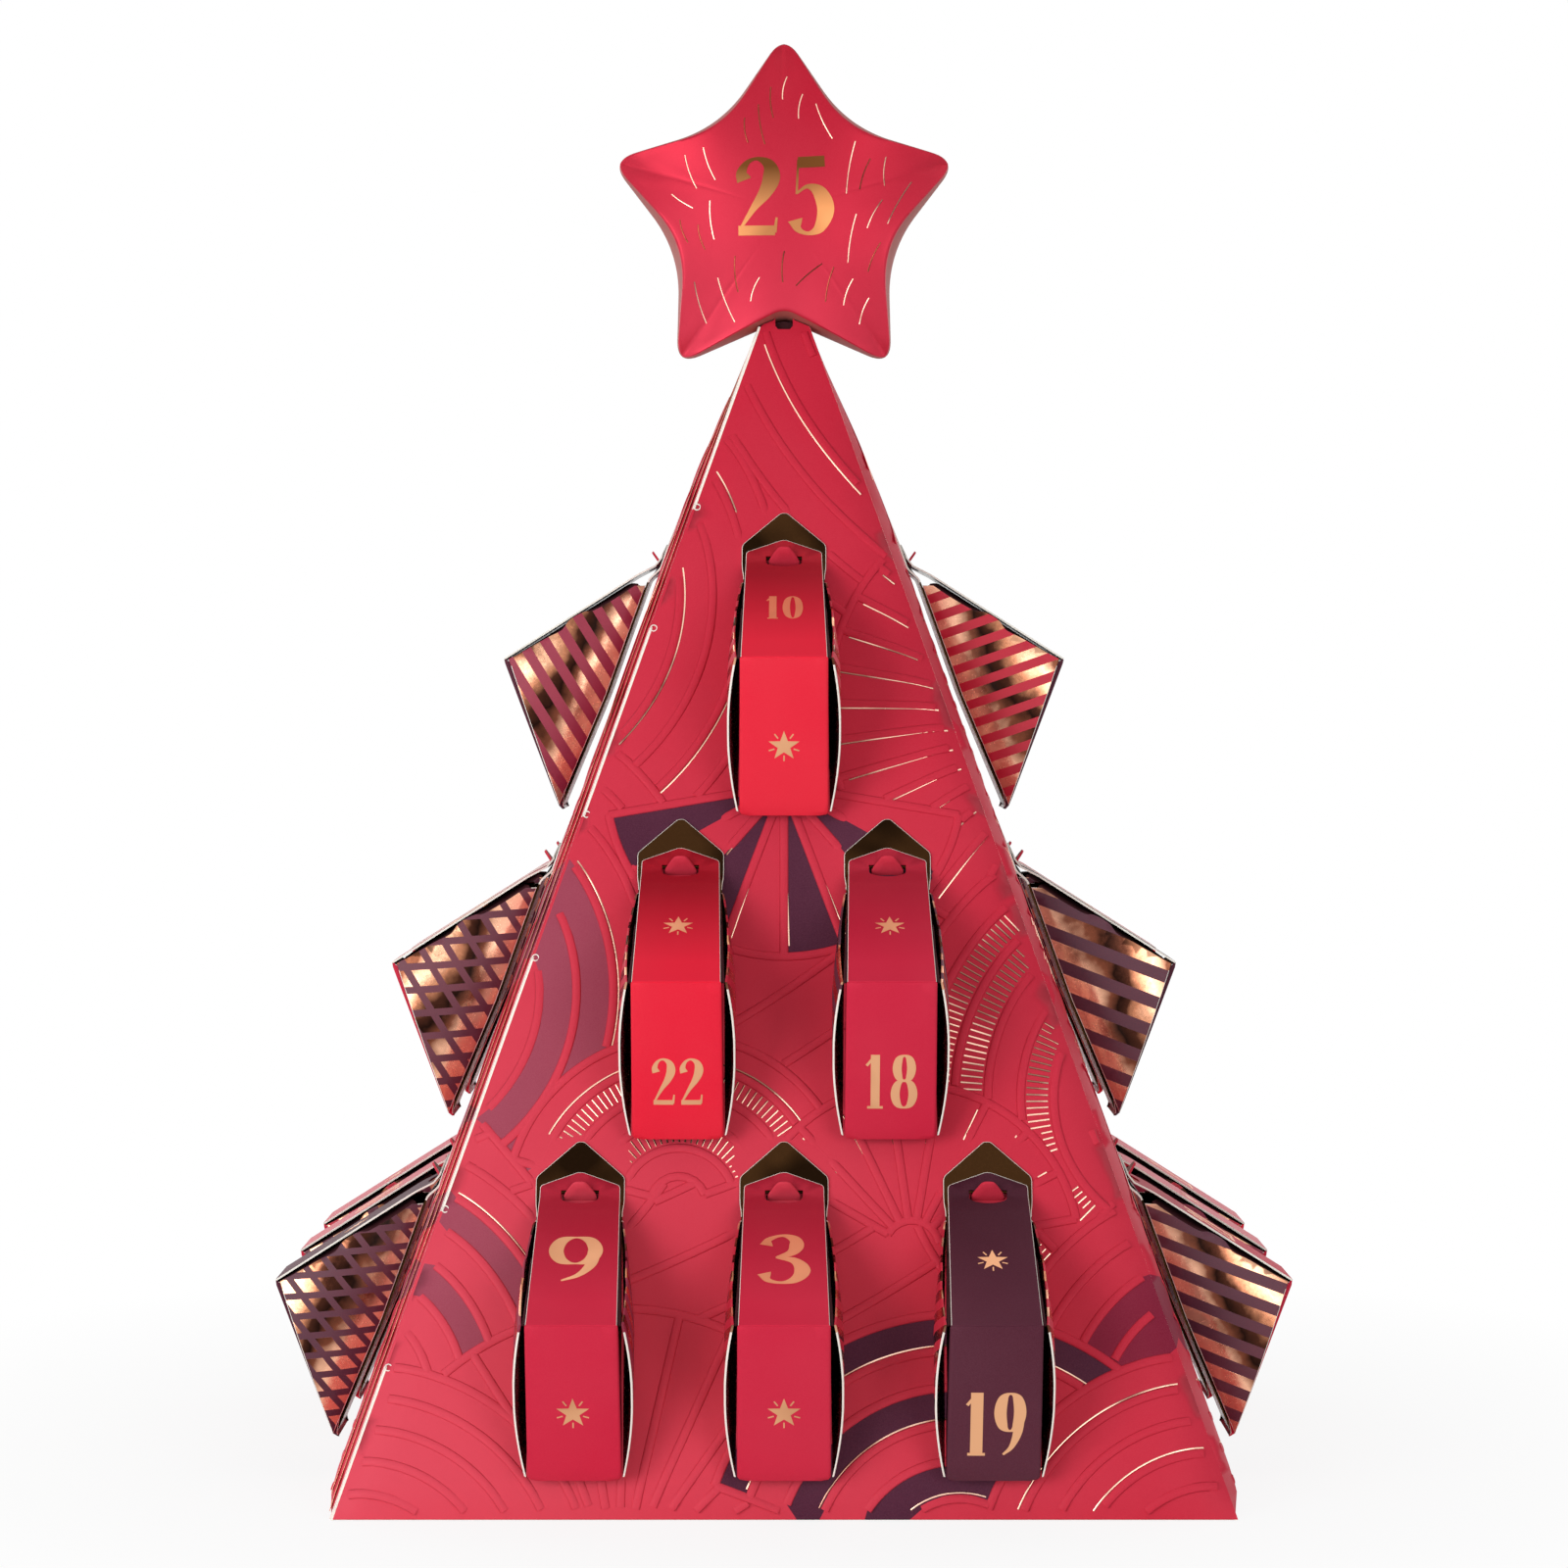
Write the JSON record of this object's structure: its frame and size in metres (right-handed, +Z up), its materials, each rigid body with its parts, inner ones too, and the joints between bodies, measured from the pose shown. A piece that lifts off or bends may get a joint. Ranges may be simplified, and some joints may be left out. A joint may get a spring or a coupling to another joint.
{
  "type": "advent calendar",
  "caption": "Card pyramid advent calendar with hanging wedge boxes on hooks cut from its walls, hinged lids, and a lift-off star box on top.",
  "frame": {"origin": "middle of the base, on the surface it stands on", "axes": "+Z up through the star; the front wall, with its notch under the star, faces -Y; +X to the right seen from the front"},
  "size_m": [0.3776, 0.3776, 0.5436],
  "materials": {
    "wall_card": "matte laminated print with foil lines",
    "crimson_board": "matte laminated print, foil inside",
    "plum_board": "matte laminated print, foil inside",
    "star_board": "matte laminated print with foil dashes",
    "rose_foil": "rose-gold metallised board",
    "grey_board": "uncoated board",
    "chocolate": "satin chocolate"
  },
  "bodies": {
    "pyramid": {"wall_front": "wall_card", "wall_right": "wall_card", "wall_back": "wall_card", "wall_left": "wall_card", "base_board": "grey_board"},
    "tray_10": {"tray_10": "crimson_board"},
    "lid_10": {"lid_10": "crimson_board"},
    "tray_22": {"tray_22": "crimson_board"},
    "lid_22": {"lid_22": "crimson_board"},
    "tray_18": {"tray_18": "crimson_board"},
    "lid_18": {"lid_18": "crimson_board"},
    "tray_09": {"tray_09": "crimson_board"},
    "lid_09": {"lid_09": "crimson_board"},
    "tray_03": {"tray_03": "crimson_board"},
    "lid_03": {"lid_03": "crimson_board"},
    "tray_19": {"tray_19": "plum_board"},
    "lid_19": {"lid_19": "plum_board"},
    "tray_04": {"tray_04": "plum_board"},
    "lid_04": {"lid_04": "plum_board"},
    "tray_15": {"tray_15": "plum_board"},
    "lid_15": {"lid_15": "plum_board"},
    "tray_07": {"tray_07": "crimson_board"},
    "lid_07": {"lid_07": "crimson_board"},
    "tray_21": {"tray_21": "crimson_board"},
    "lid_21": {"lid_21": "crimson_board"},
    "tray_12": {"tray_12": "crimson_board"},
    "lid_12": {"lid_12": "crimson_board"},
    "tray_01": {"tray_01": "crimson_board"},
    "lid_01": {"lid_01": "crimson_board"},
    "tray_16": {"tray_16": "plum_board"},
    "lid_16": {"lid_16": "plum_board"},
    "tray_02": {"tray_02": "crimson_board"},
    "lid_02": {"lid_02": "crimson_board"},
    "tray_24": {"tray_24": "plum_board"},
    "lid_24": {"lid_24": "plum_board"},
    "tray_13": {"tray_13": "crimson_board"},
    "lid_13": {"lid_13": "crimson_board"},
    "tray_06": {"tray_06": "crimson_board"},
    "lid_06": {"lid_06": "crimson_board"},
    "tray_20": {"tray_20": "crimson_board"},
    "lid_20": {"lid_20": "crimson_board"},
    "tray_08": {"tray_08": "plum_board"},
    "lid_08": {"lid_08": "plum_board"},
    "tray_11": {"tray_11": "crimson_board"},
    "lid_11": {"lid_11": "crimson_board"},
    "tray_23": {"tray_23": "crimson_board"},
    "lid_23": {"lid_23": "crimson_board"},
    "tray_05": {"tray_05": "crimson_board"},
    "lid_05": {"lid_05": "crimson_board"},
    "tray_17": {"tray_17": "crimson_board"},
    "lid_17": {"lid_17": "crimson_board"},
    "tray_14": {"tray_14": "plum_board"},
    "lid_14": {"lid_14": "plum_board"},
    "star": {"star_front_shell": "star_board", "star_stem": "grey_board", "star_chocolate": "chocolate"},
    "star_back": {"star_back_shell": "rose_foil"}
  },
  "joints": [
    {"name": "unhook_10", "type": "slide", "parent": "pyramid", "child": "tray_10", "axis": [0, -0.5721, 0.8202], "range_m": [0, 0.012]},
    {"name": "open_10", "type": "hinge", "parent": "tray_10", "child": "lid_10", "pos_m": [0, -0.10899, 0.30405], "axis": [1, 0, 0], "range_deg": [0, 120]},
    {"name": "unhook_22", "type": "slide", "parent": "pyramid", "child": "tray_22", "axis": [0, -0.5721, 0.8202], "range_m": [0, 0.012]},
    {"name": "open_22", "type": "hinge", "parent": "tray_22", "child": "lid_22", "pos_m": [-0.03825, -0.14892, 0.18877], "axis": [1, 0, 0], "range_deg": [0, 120]},
    {"name": "unhook_18", "type": "slide", "parent": "pyramid", "child": "tray_18", "axis": [0, -0.5721, 0.8202], "range_m": [0, 0.012]},
    {"name": "open_18", "type": "hinge", "parent": "tray_18", "child": "lid_18", "pos_m": [0.03825, -0.14892, 0.18877], "axis": [1, 0, 0], "range_deg": [0, 120]},
    {"name": "unhook_09", "type": "slide", "parent": "pyramid", "child": "tray_09", "axis": [0, -0.5721, 0.8202], "range_m": [0, 0.012]},
    {"name": "open_09", "type": "hinge", "parent": "tray_09", "child": "lid_09", "pos_m": [-0.0734, -0.18884, 0.07348], "axis": [1, 0, 0], "range_deg": [0, 120]},
    {"name": "unhook_03", "type": "slide", "parent": "pyramid", "child": "tray_03", "axis": [0, -0.5721, 0.8202], "range_m": [0, 0.012]},
    {"name": "open_03", "type": "hinge", "parent": "tray_03", "child": "lid_03", "pos_m": [0, -0.18884, 0.07348], "axis": [1, 0, 0], "range_deg": [0, 120]},
    {"name": "unhook_19", "type": "slide", "parent": "pyramid", "child": "tray_19", "axis": [0, -0.5721, 0.8202], "range_m": [0, 0.012]},
    {"name": "open_19", "type": "hinge", "parent": "tray_19", "child": "lid_19", "pos_m": [0.0734, -0.18884, 0.07348], "axis": [1, 0, 0], "range_deg": [0, 120]},
    {"name": "unhook_04", "type": "slide", "parent": "pyramid", "child": "tray_04", "axis": [0.5721, 0, 0.8202], "range_m": [0, 0.012]},
    {"name": "open_04", "type": "hinge", "parent": "tray_04", "child": "lid_04", "pos_m": [0.10899, 0, 0.30405], "axis": [0, 1, 0], "range_deg": [0, 120]},
    {"name": "unhook_15", "type": "slide", "parent": "pyramid", "child": "tray_15", "axis": [0.5721, 0, 0.8202], "range_m": [0, 0.012]},
    {"name": "open_15", "type": "hinge", "parent": "tray_15", "child": "lid_15", "pos_m": [0.14892, -0.03825, 0.18877], "axis": [0, 1, 0], "range_deg": [0, 120]},
    {"name": "unhook_07", "type": "slide", "parent": "pyramid", "child": "tray_07", "axis": [0.5721, 0, 0.8202], "range_m": [0, 0.012]},
    {"name": "open_07", "type": "hinge", "parent": "tray_07", "child": "lid_07", "pos_m": [0.14892, 0.03825, 0.18877], "axis": [0, 1, 0], "range_deg": [0, 120]},
    {"name": "unhook_21", "type": "slide", "parent": "pyramid", "child": "tray_21", "axis": [0.5721, 0, 0.8202], "range_m": [0, 0.012]},
    {"name": "open_21", "type": "hinge", "parent": "tray_21", "child": "lid_21", "pos_m": [0.18884, -0.0734, 0.07348], "axis": [0, 1, 0], "range_deg": [0, 120]},
    {"name": "unhook_12", "type": "slide", "parent": "pyramid", "child": "tray_12", "axis": [0.5721, 0, 0.8202], "range_m": [0, 0.012]},
    {"name": "open_12", "type": "hinge", "parent": "tray_12", "child": "lid_12", "pos_m": [0.18884, 0, 0.07348], "axis": [0, 1, 0], "range_deg": [0, 120]},
    {"name": "unhook_01", "type": "slide", "parent": "pyramid", "child": "tray_01", "axis": [0.5721, 0, 0.8202], "range_m": [0, 0.012]},
    {"name": "open_01", "type": "hinge", "parent": "tray_01", "child": "lid_01", "pos_m": [0.18884, 0.0734, 0.07348], "axis": [0, 1, 0], "range_deg": [0, 120]},
    {"name": "unhook_16", "type": "slide", "parent": "pyramid", "child": "tray_16", "axis": [0, 0.5721, 0.8202], "range_m": [0, 0.012]},
    {"name": "open_16", "type": "hinge", "parent": "tray_16", "child": "lid_16", "pos_m": [0, 0.10899, 0.30405], "axis": [-1, 0, 0], "range_deg": [0, 120]},
    {"name": "unhook_02", "type": "slide", "parent": "pyramid", "child": "tray_02", "axis": [0, 0.5721, 0.8202], "range_m": [0, 0.012]},
    {"name": "open_02", "type": "hinge", "parent": "tray_02", "child": "lid_02", "pos_m": [0.03825, 0.14892, 0.18877], "axis": [-1, 0, 0], "range_deg": [0, 120]},
    {"name": "unhook_24", "type": "slide", "parent": "pyramid", "child": "tray_24", "axis": [0, 0.5721, 0.8202], "range_m": [0, 0.012]},
    {"name": "open_24", "type": "hinge", "parent": "tray_24", "child": "lid_24", "pos_m": [-0.03825, 0.14892, 0.18877], "axis": [-1, 0, 0], "range_deg": [0, 120]},
    {"name": "unhook_13", "type": "slide", "parent": "pyramid", "child": "tray_13", "axis": [0, 0.5721, 0.8202], "range_m": [0, 0.012]},
    {"name": "open_13", "type": "hinge", "parent": "tray_13", "child": "lid_13", "pos_m": [0.0734, 0.18884, 0.07348], "axis": [-1, 0, 0], "range_deg": [0, 120]},
    {"name": "unhook_06", "type": "slide", "parent": "pyramid", "child": "tray_06", "axis": [0, 0.5721, 0.8202], "range_m": [0, 0.012]},
    {"name": "open_06", "type": "hinge", "parent": "tray_06", "child": "lid_06", "pos_m": [0, 0.18884, 0.07348], "axis": [-1, 0, 0], "range_deg": [0, 120]},
    {"name": "unhook_20", "type": "slide", "parent": "pyramid", "child": "tray_20", "axis": [0, 0.5721, 0.8202], "range_m": [0, 0.012]},
    {"name": "open_20", "type": "hinge", "parent": "tray_20", "child": "lid_20", "pos_m": [-0.0734, 0.18884, 0.07348], "axis": [-1, 0, 0], "range_deg": [0, 120]},
    {"name": "unhook_08", "type": "slide", "parent": "pyramid", "child": "tray_08", "axis": [-0.5721, 0, 0.8202], "range_m": [0, 0.012]},
    {"name": "open_08", "type": "hinge", "parent": "tray_08", "child": "lid_08", "pos_m": [-0.10899, 0, 0.30405], "axis": [0, -1, 0], "range_deg": [0, 120]},
    {"name": "unhook_11", "type": "slide", "parent": "pyramid", "child": "tray_11", "axis": [-0.5721, 0, 0.8202], "range_m": [0, 0.012]},
    {"name": "open_11", "type": "hinge", "parent": "tray_11", "child": "lid_11", "pos_m": [-0.14892, 0.03825, 0.18877], "axis": [0, -1, 0], "range_deg": [0, 120]},
    {"name": "unhook_23", "type": "slide", "parent": "pyramid", "child": "tray_23", "axis": [-0.5721, 0, 0.8202], "range_m": [0, 0.012]},
    {"name": "open_23", "type": "hinge", "parent": "tray_23", "child": "lid_23", "pos_m": [-0.14892, -0.03825, 0.18877], "axis": [0, -1, 0], "range_deg": [0, 120]},
    {"name": "unhook_05", "type": "slide", "parent": "pyramid", "child": "tray_05", "axis": [-0.5721, 0, 0.8202], "range_m": [0, 0.012]},
    {"name": "open_05", "type": "hinge", "parent": "tray_05", "child": "lid_05", "pos_m": [-0.18884, 0.0734, 0.07348], "axis": [0, -1, 0], "range_deg": [0, 120]},
    {"name": "unhook_17", "type": "slide", "parent": "pyramid", "child": "tray_17", "axis": [-0.5721, 0, 0.8202], "range_m": [0, 0.012]},
    {"name": "open_17", "type": "hinge", "parent": "tray_17", "child": "lid_17", "pos_m": [-0.18884, 0, 0.07348], "axis": [0, -1, 0], "range_deg": [0, 120]},
    {"name": "unhook_14", "type": "slide", "parent": "pyramid", "child": "tray_14", "axis": [-0.5721, 0, 0.8202], "range_m": [0, 0.012]},
    {"name": "open_14", "type": "hinge", "parent": "tray_14", "child": "lid_14", "pos_m": [-0.18884, -0.0734, 0.07348], "axis": [0, -1, 0], "range_deg": [0, 120]},
    {"name": "lift_star", "type": "slide", "parent": "pyramid", "child": "star", "axis": [0, 0, 1], "range_m": [0, 0.04]},
    {"name": "pull_star_back", "type": "slide", "parent": "star", "child": "star_back", "axis": [0, 1, 0], "range_m": [0, 0.02]}
  ]
}
